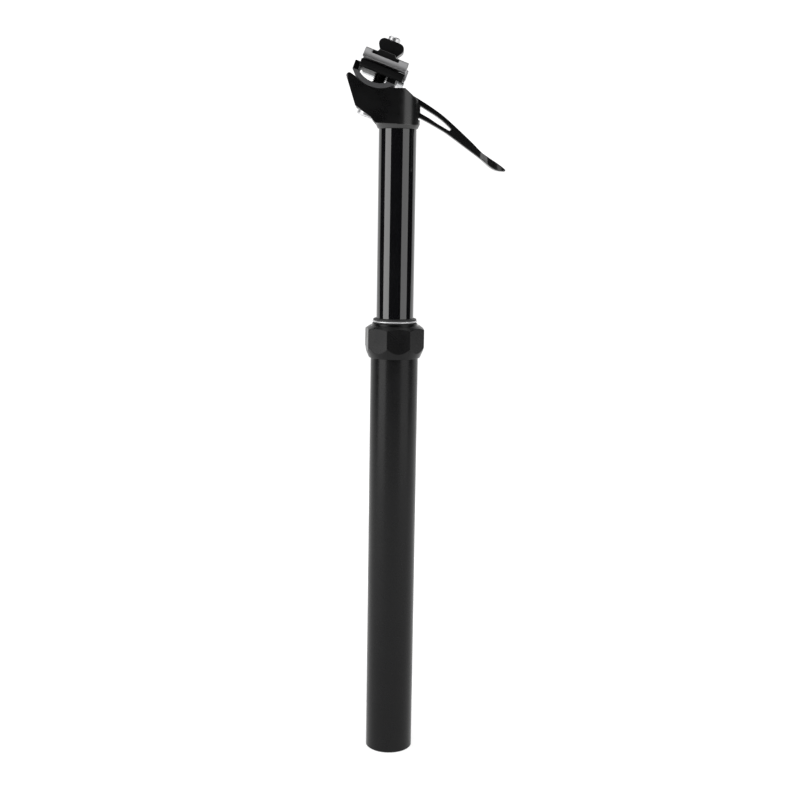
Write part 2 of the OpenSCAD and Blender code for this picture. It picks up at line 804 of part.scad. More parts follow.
// Cross section of the clamp's two ears, before it is split
module ear_section(ear_r) {
    for (side = [-1, 1]) translate([side * rail_spacing / 2, -rail_below]) difference() {
        circle(ear_r);
        circle(rail_d / 2);
    }
}

// Cross section of the plate between the ears, before it is split
module plate_section(from, to) {
    difference() {
        translate([-rail_spacing / 2, from]) square([rail_spacing, to - from]);
        for (side = [-1, 1]) translate([side * rail_spacing / 2, -rail_below]) circle(rail_d / 2);
    }
}

// Half of the cross section on one side of the parting line
module section_half(side) {
    parting = -rail_below + side * jaw_gap / 2;
    translate([-rail_spacing, side > 0 ? parting : parting - rail_spacing])
        square([2 * rail_spacing, rail_spacing]);
}

// Two ears and their plate on one side of the parting line; the plate ends with the rocker
module clamp_half(side, ear_r, plate_from, plate_to) {
    along_rails(jaw_from, jaw_to) intersection() {
        ear_section(ear_r);
        section_half(side);
    }
    along_rails(jaw_from, rocker_half) intersection() {
        plate_section(plate_from, plate_to);
        section_half(side);
    }
}

// Cross section of the lips that stand up beside the rails and close the gap between the halves
module rail_lips() {
    lip_top = -rail_below + jaw_gap / 2 - seat_gap;
    for (side = [-1, 1])
        translate([side * (rail_spacing / 2 - rail_d / 2 - lower_wall / 2), 0])
            translate([-lower_wall / 2, -rail_below - jaw_gap])
                square([lower_wall, lip_top + rail_below + jaw_gap]);
}

// Side outline of the rocker: a curved band on two legs around an open window
module rocker_outline() {
    rear = rocker_half - rocker_leg;
    front = rocker_half - front_leg;
    difference() {
        intersection() {
            circle(rocker_r, $fn = 180);
            translate([-rocker_half, -rocker_r]) square([2 * rocker_half, rocker_r - leg_top]);
        }
        intersection() {
            circle(rocker_r - rocker_band, $fn = 180);
            translate([-rear, -rocker_r]) square([rear + front, rocker_r - plate_below]);
        }
    }
}

module lower_clamp() {
    color(satin_black) in_clamp() difference() {
        union() {
            across(clamp_half_w) rocker_outline();
            clamp_half(-1, lower_ear_r, -plate_below, 0);
            along_rails(jaw_from, jaw_to) rail_lips();
        }
        clamp_bolt_hole(bolt_clear);
    }
}

module bolt_washer() {
    color(steel) in_clamp() difference() {
        translate([bolt_along - washer_half, -washer_half, washer_under])
            cube([2 * washer_half, 2 * washer_half, washer_half]);
        rotate([90, 0, 0]) cylinder(r = seat_r + seat_gap, h = 4 * washer_half, center = true, $fn = 180);
        clamp_bolt_hole(bolt_clear);
    }
}

module clamp_bolt() {
    socket_depth = bolt_head_h * 0.55;
    head_under = washer_under - bolt_head_h;
    color(steel) in_clamp() translate([bolt_along, 0, 0]) difference() {
        union() {
            post_disc(bolt_head_d / 2, head_under, washer_under);
            post_disc(bolt_r, head_under, bolt_end);
        }
        translate([0, 0, head_under - cut])
            cylinder(d = bolt_socket / cos(30), h = socket_depth + cut, $fn = 6);
    }
}

module upper_clamp() {
    color(alloy) in_clamp() difference() {
        clamp_half(1, upper_ear_r, -rail_below, upper_top);
        translate([bolt_along, 0, channel_floor]) across(rail_spacing) nut_foot_outline(fit_clear);
        clamp_bolt_hole(bolt_clear);
    }
}

// Side outline of the clamp nut's foot, grown by a clearance: it hollows in to the waist
module nut_foot_outline(grow) {
    foot_h = channel_depth - foot_sink;
    waist_x = nut_waist + waist_r;
    difference() {
        union() {
            translate([-nut_half - grow, 0]) square([2 * (nut_half + grow), foot_h + grow]);
            translate([-waist_x, 0]) square([2 * waist_x, foot_h + waist_r]);
        }
        for (side = [-1, 1])
            translate([side * waist_x, foot_h + waist_r]) circle(waist_r - grow);
    }
}

// Side outline of the clamp nut's two round lobes, on a neck that stands in the foot
module nut_lobes_outline() {
    lobe_inset = 0.35;
    neck_inset = 0.3;
    foot_h = channel_depth - foot_sink;
    neck = [nut_waist - neck_inset, foot_h + waist_r];
    lobe = [nut_half - lobe_inset - lobe_r, clamp_nut_h - lobe_r];
    touch = tangent_point(neck, lobe, lobe_r, 1);
    polygon([
        [-neck[0], foot_h / 2], [neck[0], foot_h / 2], neck, touch, lobe, [lobe[0], clamp_nut_h],
        [-lobe[0], clamp_nut_h], [-lobe[0], lobe[1]], [-touch[0], touch[1]], [-neck[0], neck[1]]
    ]);
    for (side = [-1, 1]) translate([side * lobe[0], lobe[1]]) circle(lobe_r);
}

module clamp_nut() {
    color(black) in_clamp() difference() {
        translate([bolt_along, 0, channel_floor]) {
            across(nut_across) nut_foot_outline(0);
            across(nut_lobe_half) nut_lobes_outline();
        }
        clamp_bolt_hole(run_clear);
    }
}

lower_tube();
collar_nut();
wiper_seal();
wiper_ring();
upper_bushing();
bottom_plug();
plug_circlip();
foot_bolt();
foot_washer();
bottom_out_bumper();
piston_rod();
main_piston();
piston_seal();
stanchion();
lower_bushing();
guide_keys();
cartridge_tube();
cartridge_retainer();
rod_guide();
rod_seal();
inner_tube();
valve_body();
valve_seal();
floating_piston();
floating_piston_seals();
valve_pin();
head();
lever_pivot_pin();
lever();
lever_bush();
lower_clamp();
bolt_washer();
clamp_bolt();
upper_clamp();
clamp_nut();
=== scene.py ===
"""Looks of the dropper seatpost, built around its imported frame.

Sizes are in millimetres, and each mesh is brought to metres when it becomes an object.
+Z runs up the post and +X points forward, the way the lever points.
"""

import json
import logging
import math
from dataclasses import dataclass
from enum import Enum
from functools import cache
from typing import Iterable, Sequence

import bmesh
import bpy
from bmesh.types import BMEdge, BMesh, BMVert
from mathutils import Matrix, Quaternion, Vector
from mathutils.geometry import interpolate_bezier


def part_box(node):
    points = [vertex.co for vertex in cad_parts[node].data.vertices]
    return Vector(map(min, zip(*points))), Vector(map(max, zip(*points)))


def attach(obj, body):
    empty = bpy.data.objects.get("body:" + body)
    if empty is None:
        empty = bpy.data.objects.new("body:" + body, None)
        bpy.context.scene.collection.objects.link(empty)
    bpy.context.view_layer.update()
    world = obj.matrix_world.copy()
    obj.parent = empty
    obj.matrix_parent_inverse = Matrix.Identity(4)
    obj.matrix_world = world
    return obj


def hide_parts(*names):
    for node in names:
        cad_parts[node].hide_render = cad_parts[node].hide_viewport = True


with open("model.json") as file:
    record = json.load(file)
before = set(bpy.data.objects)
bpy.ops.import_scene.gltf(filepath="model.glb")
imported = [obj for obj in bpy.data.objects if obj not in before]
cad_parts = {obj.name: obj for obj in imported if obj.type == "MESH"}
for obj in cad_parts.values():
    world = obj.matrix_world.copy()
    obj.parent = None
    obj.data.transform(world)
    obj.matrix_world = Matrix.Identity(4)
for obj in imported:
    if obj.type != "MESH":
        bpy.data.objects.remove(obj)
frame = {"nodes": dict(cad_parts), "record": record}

LOG = logging.getLogger("seatpost")
MM = 0.001
# Steps of a full turn, of a small piece's, of a thread's, and between a line's knots
TURN_STEPS = 160
SMALL_TURN_STEPS = 48
THREAD_STEPS = 36
LINE_STEPS = 24
# Turns of an edge, in degrees, that make it sharp or leave it flat
SHARP_DEGREES = 38.0
FLAT_DEGREES = 0.2
# Distances within which points are one, and within which a point lies on a cut
WELD = 1e-4
COARSE_WELD = 1e-3
CUT_SLACK = 1e-5
# Centre that the saddle clamp tilts about, and its tilt at rest in degrees
CLAMP_CENTRE = (-9.8, 0.0, 400.9)
CLAMP_TILT = 20.5
# Scale of the fine marks over that of the coarse ones
FINER_MARKS = 3.1
# How far from its offset a side face may lie
FACE_SLACK = 0.15
# Index of a piece's second material: raw alloy on the rocker's inner faces, and dark steel as painted
# shade on the bolt's thread
SECOND_MATERIAL = 1

Colour = tuple[float, float, float]
Point2 = tuple[float, float]


@dataclass(frozen=True)
class Box:
    """Box of a CAD node at rest, in millimetres."""

    low: Vector
    high: Vector

    @classmethod
    def of(cls, node: str) -> "Box":
        """Measure a CAD node.

        Args:
            node: Name of the node.

        Returns:
            Its box.
        """
        low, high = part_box(node)
        return cls(Vector(low) / MM, Vector(high) / MM)


class Surface(Enum):
    """How a surface was finished, which sets the direction of its fine marks."""

    BLASTED = "blasted"
    DRAWN = "drawn"
    TURNED = "turned"
    MOULDED = "moulded"


# Stretch of the fine marks in X, Y and Z: long along the post, around it, or alike all ways
MARK_STRETCH = {
    Surface.BLASTED: (1.0, 1.0, 1.0),
    Surface.DRAWN: (1.0, 1.0, 0.01),
    Surface.TURNED: (0.02, 0.02, 1.0),
    Surface.MOULDED: (1.0, 1.0, 1.0),
}


class NodeGroups:
    """Shader node groups that the finishes share, each built once."""

    @staticmethod
    def _new(name: str, inputs: dict[str, str], outputs: dict[str, str]) -> bpy.types.NodeTree:
        """Make an empty group with its sockets.

        Args:
            name: Name of the group.
            inputs: Socket types of its inputs, by name.
            outputs: Socket types of its outputs, by name.

        Returns:
            The group.
        """
        tree = bpy.data.node_groups.new(name, "ShaderNodeTree")
        for label, kind in inputs.items():
            tree.interface.new_socket(name=label, in_out="INPUT", socket_type=kind)
        for label, kind in outputs.items():
            tree.interface.new_socket(name=label, in_out="OUTPUT", socket_type=kind)
        return tree

    @classmethod
    @cache
    def fine_marks(cls) -> bpy.types.NodeTree:
        """Fine marks of blasting, drawing or turning.

        Returns:
            A group with a Marks input for the spacing and a Stretch input for the direction.
            It puts out Gloss, a mask for the roughness, and Relief, a height.
        """
        tree = cls._new(
            "fine_marks",
            {"Marks": "NodeSocketFloat", "Stretch": "NodeSocketVector"},
            {"Gloss": "NodeSocketFloat", "Relief": "NodeSocketFloat"},
        )
        nodes, links = tree.nodes, tree.links
        entry = nodes.new("NodeGroupInput")
        leave = nodes.new("NodeGroupOutput")
        place = nodes.new("ShaderNodeTexCoord")
        stretch = nodes.new("ShaderNodeVectorMath")
        stretch.operation = "MULTIPLY"
        coarse = nodes.new("ShaderNodeTexNoise")
        coarse.inputs["Detail"].default_value = 2.0
        finer = nodes.new("ShaderNodeMath")
        finer.operation = "MULTIPLY"
        finer.inputs[1].default_value = FINER_MARKS
        fine = nodes.new("ShaderNodeTexNoise")
        fine.inputs["Detail"].default_value = 3.0
        links.new(place.outputs["Object"], stretch.inputs[0])
        links.new(entry.outputs["Stretch"], stretch.inputs[1])
        links.new(entry.outputs["Marks"], coarse.inputs["Scale"])
        links.new(entry.outputs["Marks"], finer.inputs[0])
        links.new(finer.outputs[0], fine.inputs["Scale"])
        for noise in (coarse, fine):
            links.new(stretch.outputs[0], noise.inputs["Vector"])
        links.new(coarse.outputs["Fac"], leave.inputs["Gloss"])
        links.new(fine.outputs["Fac"], leave.inputs["Relief"])
        return tree

    @classmethod
    @cache
    def handling(cls) -> bpy.types.NodeTree:
        """Broad cloudy variation, as handling and uneven dye leave it.

        Returns:
            A group with a Patch input for the spacing, which puts out Cloud, a mask.
        """
        tree = cls._new("handling", {"Patch": "NodeSocketFloat"}, {"Cloud": "NodeSocketFloat"})
        nodes, links = tree.nodes, tree.links
        entry = nodes.new("NodeGroupInput")
        leave = nodes.new("NodeGroupOutput")
        place = nodes.new("ShaderNodeTexCoord")
        noise = nodes.new("ShaderNodeTexNoise")
        noise.inputs["Detail"].default_value = 5.0
        noise.inputs["Roughness"].default_value = 0.55
        spread = nodes.new("ShaderNodeMapRange")
        spread.interpolation_type = "SMOOTHSTEP"
        spread.inputs["From Min"].default_value = 0.3
        spread.inputs["From Max"].default_value = 0.7
        links.new(place.outputs["Object"], noise.inputs["Vector"])
        links.new(entry.outputs["Patch"], noise.inputs["Scale"])
        links.new(noise.outputs["Fac"], spread.inputs["Value"])
        links.new(spread.outputs["Result"], leave.inputs["Cloud"])
        return tree

    @classmethod
    @cache
    def cheeks(cls) -> bpy.types.NodeTree:
        """Side faces at a distance from the middle plane, below a leaning level.

        Returns:
            A group with an Offset input for the distance, and with Up and Level inputs for the
            level's direction and height. It puts out Faces, a mask.
        """
        tree = cls._new(
            "cheeks",
            {"Offset": "NodeSocketFloat", "Up": "NodeSocketVector", "Level": "NodeSocketFloat"},
            {"Faces": "NodeSocketFloat"},
        )
        nodes, links = tree.nodes, tree.links
        entry = nodes.new("NodeGroupInput")
        leave = nodes.new("NodeGroupOutput")
        place = nodes.new("ShaderNodeTexCoord")
        axes = nodes.new("ShaderNodeSeparateXYZ")
        side = nodes.new("ShaderNodeMath")
        side.operation = "ABSOLUTE"
        near = nodes.new("ShaderNodeMath")
        near.operation = "COMPARE"
        near.inputs[2].default_value = FACE_SLACK * MM
        height = nodes.new("ShaderNodeVectorMath")
        height.operation = "DOT_PRODUCT"
        below = nodes.new("ShaderNodeMath")
        below.operation = "LESS_THAN"
        both = nodes.new("ShaderNodeMath")
        both.operation = "MULTIPLY"
        links.new(place.outputs["Object"], axes.inputs[0])
        links.new(place.outputs["Object"], height.inputs[0])
        links.new(entry.outputs["Up"], height.inputs[1])
        links.new(height.outputs["Value"], below.inputs[0])
        links.new(entry.outputs["Level"], below.inputs[1])
        links.new(axes.outputs["Y"], side.inputs[0])
        links.new(side.outputs[0], near.inputs[0])
        links.new(entry.outputs["Offset"], near.inputs[1])
        links.new(near.outputs[0], both.inputs[0])
        links.new(below.outputs[0], both.inputs[1])
        links.new(both.outputs[0], leave.inputs["Faces"])
        return tree


@dataclass(frozen=True)
class PaintedSheenArc:
    """Side faces of the rocker's curved band, with a lighter grey painted on as sheen.

    Attributes:
        offset: Distance of the faces from the middle plane, in millimetres.
        below: Distance of their upper limit below the clamp's centre, in millimetres.
        colour: Lighter grey of the faces, a painted sheen.
    """

    offset: float
    below: float
    colour: Colour

    def up(self) -> Vector:
        """Find the direction that is square to the saddle's rails.

        Returns:
            The direction, of unit length.
        """
        return Matrix.Rotation(math.radians(CLAMP_TILT), 3, "Y") @ Vector((0, 0, 1))

    def level(self) -> float:
        """Find the height of the upper limit along that direction.

        Returns:
            The height, in metres.
        """
        return (self.up().dot(Vector(CLAMP_CENTRE)) - self.below) * MM


@dataclass(frozen=True)
class Finish:
    """Finish of a surface.

    Attributes:
        name: Name of the record's slot that it belongs to.
        surface: How the surface was made.
        dark: Colour where it is cleanest.
        light: Colour where handling shows.
        smooth: Roughness where it is smoothest.
        rough: Roughness where it is roughest.
        mark: Spacing of the fine marks, in millimetres.
        relief: Depth of the fine marks, in millimetres.
        metallic: Share of bare metal.
        ior: Index of refraction of the coating.
        patch: Spacing of the cloudy variation, in millimetres.
        painted_sheen: Side faces with a painted sheen, or None.
    """

    name: str
    surface: Surface
    dark: Colour
    light: Colour
    smooth: float
    rough: float
    mark: float
    relief: float
    metallic: float = 0.0
    ior: float = 1.5
    patch: float = 18.0
    painted_sheen: PaintedSheenArc | None = None

    @cache
    def material(self) -> bpy.types.Material:
        """Build the material, once for each finish.

        Returns:
            The material.
        """
        made = bpy.data.materials.new("finish_" + self.name)
        made.use_nodes = True
        nodes, links = made.node_tree.nodes, made.node_tree.links
        shader = nodes["Principled BSDF"]
        shader.inputs["Metallic"].default_value = self.metallic
        shader.inputs["IOR"].default_value = self.ior
        marks = nodes.new("ShaderNodeGroup")
        marks.node_tree = NodeGroups.fine_marks()
        marks.inputs["Marks"].default_value = 1 / (self.mark * MM)
        marks.inputs["Stretch"].default_value = MARK_STRETCH[self.surface]
        cloud = nodes.new("ShaderNodeGroup")
        cloud.node_tree = NodeGroups.handling()
        cloud.inputs["Patch"].default_value = 1 / (self.patch * MM)
        tint = nodes.new("ShaderNodeMix")
        tint.data_type = "RGBA"
        tint.inputs["A"].default_value = (*self.dark, 1)
        tint.inputs["B"].default_value = (*self.light, 1)
        both = nodes.new("ShaderNodeMath")
        both.operation = "ADD"
        gloss = nodes.new("ShaderNodeMapRange")
        gloss.inputs["From Min"].default_value = 0.5
        gloss.inputs["From Max"].default_value = 1.5
        gloss.inputs["To Min"].default_value = self.smooth
        gloss.inputs["To Max"].default_value = self.rough
        bump = nodes.new("ShaderNodeBump")
        bump.inputs["Distance"].default_value = self.relief * MM
        links.new(cloud.outputs["Cloud"], tint.inputs["Factor"])
        colour = tint.outputs["Result"]
        # Painted sheen: a lighter grey is mixed onto the side faces of the rocker's band
        if self.painted_sheen:
            faces = nodes.new("ShaderNodeGroup")
            faces.node_tree = NodeGroups.cheeks()
            faces.inputs["Offset"].default_value = self.painted_sheen.offset * MM
            faces.inputs["Up"].default_value = self.painted_sheen.up()
            faces.inputs["Level"].default_value = self.painted_sheen.level()
            bare = nodes.new("ShaderNodeMix")
            bare.data_type = "RGBA"
            bare.inputs["B"].default_value = (*self.painted_sheen.colour, 1)
            links.new(faces.outputs["Faces"], bare.inputs["Factor"])
            links.new(colour, bare.inputs["A"])
            colour = bare.outputs["Result"]
        links.new(colour, shader.inputs["Base Color"])
        links.new(cloud.outputs["Cloud"], both.inputs[0])
        links.new(marks.outputs["Gloss"], both.inputs[1])
        links.new(both.outputs[0], gloss.inputs["Value"])
        links.new(gloss.outputs["Result"], shader.inputs["Roughness"])
        links.new(marks.outputs["Relief"], bump.inputs["Height"])
        links.new(bump.outputs["Normal"], shader.inputs["Normal"])
        return made


FINISHES = {
    finish.name: finish
    for finish in (
        Finish("satin_black_alloy", Surface.BLASTED, (0.0045, 0.0045, 0.0048), (0.007, 0.007, 0.0074),
               smooth=0.22, rough=0.30, mark=0.30, relief=0.002, ior=1.29),
        Finish("nut_black_alloy", Surface.BLASTED, (0.0033, 0.0033, 0.0035), (0.0052, 0.0052, 0.0055),
               smooth=0.24, rough=0.34, mark=0.30, relief=0.002, ior=1.31),
        Finish("gloss_black_alloy", Surface.DRAWN, (0.005, 0.005, 0.006), (0.007, 0.007, 0.008),
               smooth=0.03, rough=0.07, mark=0.20, relief=0.0002, ior=1.75),
        Finish("head_black_alloy", Surface.BLASTED, (0.003, 0.003, 0.0032), (0.005, 0.005, 0.0053),
               smooth=0.24, rough=0.32, mark=0.35, relief=0.002, ior=1.6),
        Finish("lever_black_alloy", Surface.BLASTED, (0.006, 0.006, 0.0063), (0.009, 0.009, 0.0094),
               smooth=0.20, rough=0.28, mark=0.30, relief=0.002),
        # The rocker's side faces get a lighter grey below, a painted sheen
        Finish("clamp_black_alloy", Surface.BLASTED, (0.003, 0.003, 0.0032), (0.005, 0.005, 0.0053),
               smooth=0.30, rough=0.40, mark=0.30, relief=0.002, ior=1.12,
               painted_sheen=PaintedSheenArc(offset=12.0, below=10.8, colour=(0.12, 0.12, 0.124))),
        Finish("clamp_grey_alloy", Surface.BLASTED, (0.30, 0.30, 0.305), (0.36, 0.36, 0.365),
               smooth=0.34, rough=0.45, mark=0.30, relief=0.003, metallic=1.0),
        Finish("nut_black_steel", Surface.BLASTED, (0.006, 0.006, 0.0063), (0.010, 0.010, 0.0105),
               smooth=0.28, rough=0.38, mark=0.35, relief=0.002, ior=1.4),
        Finish("bright_steel", Surface.TURNED, (0.66, 0.66, 0.67), (0.76, 0.76, 0.77),
               smooth=0.34, rough=0.48, mark=0.12, relief=0.002, metallic=1.0),
        Finish("spring_steel", Surface.DRAWN, (0.16, 0.16, 0.17), (0.24, 0.24, 0.25),
               smooth=0.25, rough=0.40, mark=0.20, relief=0.002, metallic=1.0),
        Finish("raw_alloy", Surface.TURNED, (0.52, 0.53, 0.54), (0.60, 0.61, 0.62),
               smooth=0.24, rough=0.38, mark=0.18, relief=0.003, metallic=1.0),
        Finish("seal_rubber", Surface.MOULDED, (0.016, 0.016, 0.016), (0.024, 0.024, 0.024),
               smooth=0.50, rough=0.66, mark=0.40, relief=0.006),
        Finish("bushing_plastic", Surface.MOULDED, (0.66, 0.64, 0.58), (0.72, 0.70, 0.64),
               smooth=0.38, rough=0.50, mark=0.50, relief=0.004),
        Finish("key_brass", Surface.TURNED, (0.56, 0.43, 0.19), (0.64, 0.51, 0.25),
               smooth=0.22, rough=0.36, mark=0.15, relief=0.002, metallic=1.0),
    )
}


def turned(profile: Sequence[Point2]) -> BMesh:
    """Turn a closed profile around the post's axis.

    Args:
        profile: Radius and height of each corner, in order around the section.

    Returns:
        The turned ring.
    """
    bm = bmesh.new()
    revolve(bm, [*profile, profile[0]], TURN_STEPS)
    bmesh.ops.remove_doubles(bm, verts=bm.verts, dist=WELD)
    bmesh.ops.recalc_face_normals(bm, faces=bm.faces)
    return bm


def revolve(bm: BMesh, line: Sequence[Point2], steps: int = SMALL_TURN_STEPS) -> None:
    """Add an open line, turned around the post's axis, to a mesh.

    Args:
        bm: Mesh that gets the turned surface.
        line: Radius and height of each corner of the line.
        steps: Steps of the full turn.
    """
    points = [bm.verts.new((radius, 0, height)) for radius, height in line]
    sides = [bm.edges.new(pair) for pair in zip(points, points[1:])]
    bmesh.ops.spin(
        bm, geom=points + sides, cent=(0, 0, 0), axis=(0, 0, 1), angle=math.tau, steps=steps,
        use_merge=True,
    )


def rim(bm: BMesh, height: float) -> list[BMEdge]:
    """Find the open edges at a height.

    Args:
        bm: Mesh to search.
        height: Height of the edges.

    Returns:
        The edges.
    """
    return [
        edge for edge in bm.edges
        if edge.is_boundary and all(abs(vert.co.z - height) < COARSE_WELD for vert in edge.verts)
    ]


def arc(centre: Point2, radius: float, sweep: Point2, steps: int) -> list[Point2]:
    """Draw points along an arc.

    Args:
        centre: Middle of the arc.
        radius: Its radius.
        sweep: First and last angle, in degrees.
        steps: Steps from the first to the last.

    Returns:
        The points, both ends among them.
    """
    first, last = map(math.radians, sweep)
    turns = (first + (last - first) * step / steps for step in range(steps + 1))
    return [(centre[0] + radius * math.cos(turn), centre[1] + radius * math.sin(turn)) for turn in turns]


def helix(bm: BMesh, root: float, crest: float, pitch: float, low: float, high: float) -> None:
    """Add a thread between two heights to an empty mesh, open at both ends.

    Args:
        bm: Mesh that gets the thread.
        root: Radius at the bottom of the groove.
        crest: Radius at the top of the ridge.
        pitch: Distance between ridges.
        low: Height of the lower end.
        high: Height of the upper end.
    """
    lead = 1.5
    turns = math.ceil((high - low) / pitch) + 2
    # Radius of each corner of the ridge, and its share of the pitch
    ridge = ((root, 0.0), (crest, 0.36), (crest, 0.52), (root, 0.88), (root, 1.0))
    points = [bm.verts.new((radius, 0, low + (share - lead) * pitch)) for radius, share in ridge]
    sides = [bm.edges.new(pair) for pair in zip(points, points[1:])]
    bmesh.ops.spin(
        bm, geom=points + sides, cent=(0, 0, 0), axis=(0, 0, 1), dvec=(0, 0, pitch / THREAD_STEPS),
        angle=math.tau * turns, steps=THREAD_STEPS * turns,
    )
    bmesh.ops.remove_doubles(bm, verts=bm.verts, dist=COARSE_WELD)
    for height, away in ((low, -1), (high, 1)):
        bmesh.ops.bisect_plane(
            bm, geom=[*bm.verts, *bm.edges, *bm.faces], dist=CUT_SLACK, plane_co=(0, 0, height),
            plane_no=(0, 0, away), clear_outer=True,
        )


def smooth_line(knots: Sequence[Point2]) -> list[Vector]:
    """Draw a smooth line through knots.

    Args:
        knots: X and Z of the points that the line goes through.

    Returns:
        Points along the line, with each knot among them.
    """
    points = [Vector((x, 0, z)) for x, z in knots]
    line: list[Vector] = []
    for index, (start, end) in enumerate(zip(points, points[1:])):
        before = points[max(index - 1, 0)]
        after = points[min(index + 2, len(points) - 1)]
        span = (end - start).length
        leave = (end - before) / ((start - before).length + span)
        arrive = (after - start) / ((after - end).length + span)
        line += interpolate_bezier(
            start, start + leave * span / 3, end - arrive * span / 3, end, LINE_STEPS + 1
        )[:-1]
    return [*line, points[-1]]


def divided(line: Sequence[Vector], pieces: int) -> list[Vector]:
    """Divide a line into equal lengths.

    Args:
        line: Points along the line.
        pieces: Number of lengths.

    Returns:
        The ends of the lengths, in order.
    """
    reach = [0.0]
    for start, end in zip(line, line[1:]):
        reach.append(reach[-1] + (end - start).length)
    ends, at = [], 0
    for piece in range(pieces + 1):
        want = reach[-1] * piece / pieces
        while at < len(line) - 2 and reach[at + 1] < want:
            at += 1
        ends.append(line[at].lerp(line[at + 1], (want - reach[at]) / (reach[at + 1] - reach[at])))
    return ends


def cad_copy(node: str) -> BMesh:
    """Copy a CAD node's mesh, merged and with its flat faces whole.

    Args:
        node: Name of the node.

    Returns:
        The copy, in millimetres.
    """
    bm = bmesh.new()
    bm.from_mesh(frame["nodes"][node].data)
    bmesh.ops.scale(bm, vec=(1 / MM,) * 3, verts=bm.verts)
    bmesh.ops.remove_doubles(bm, verts=bm.verts, dist=COARSE_WELD)
    bmesh.ops.dissolve_limit(
        bm, angle_limit=math.radians(FLAT_DEGREES), verts=bm.verts, edges=bm.edges,
    )
    return bm


def sharp_edges(bm: BMesh, degrees: float) -> list[BMEdge]:
    """Find the edges at which the surface turns by more than an angle.

    Args:
        bm: Mesh to search.
        degrees: Least turn.

    Returns:
        The edges.
    """
    return [
        edge for edge in bm.edges
        if len(edge.link_faces) == 2 and edge.calc_face_angle(0.0) > math.radians(degrees)
    ]


def soften(bm: BMesh, width: float, degrees: float = 30.0, segments: int = 2) -> None:
    """Round the sharp edges of a mesh.

    Args:
        bm: Mesh to round.
        width: Width of the rounding.
        degrees: Least turn of an edge that is rounded.
        segments: Segments across the rounding.
    """
    bmesh.ops.bevel(
        bm, geom=sharp_edges(bm, degrees), offset=width, offset_type="OFFSET", affect="EDGES",
        segments=segments, profile=0.5, clamp_overlap=False, material=-1,
    )
    bmesh.ops.remove_doubles(bm, verts=bm.verts, dist=WELD)


def finished(bm: BMesh, name: str, slot: str, body: str, *nodes: str) -> bpy.types.Object:
    """Make a finished piece of a mesh and set it on its body.

    Args:
        bm: Mesh in millimetres, in the part's frame. It is freed.
        name: Name of the piece.
        slot: The record's slot that it takes its finish from.
        body: Body that it rides on.
        nodes: CAD nodes that it stands for.

    Returns:
        The piece.
    """
    for face in bm.faces:
        face.smooth = True
    for edge in sharp_edges(bm, SHARP_DEGREES):
        edge.smooth = False
    bmesh.ops.scale(bm, vec=(MM,) * 3, verts=bm.verts)
    mesh = bpy.data.meshes.new(name)
    bm.to_mesh(mesh)
    bm.free()
    mesh.materials.append(FINISHES[slot].material())
    piece = bpy.data.objects.new(name, mesh)
    bpy.context.collection.objects.link(piece)
    piece.modifiers.new("even_normals", "WEIGHTED_NORMAL").keep_sharp = True
    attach(piece, body)
    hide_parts(*nodes)
    LOG.info("%s: %d faces on %s", name, len(mesh.polygons), body)
    return piece


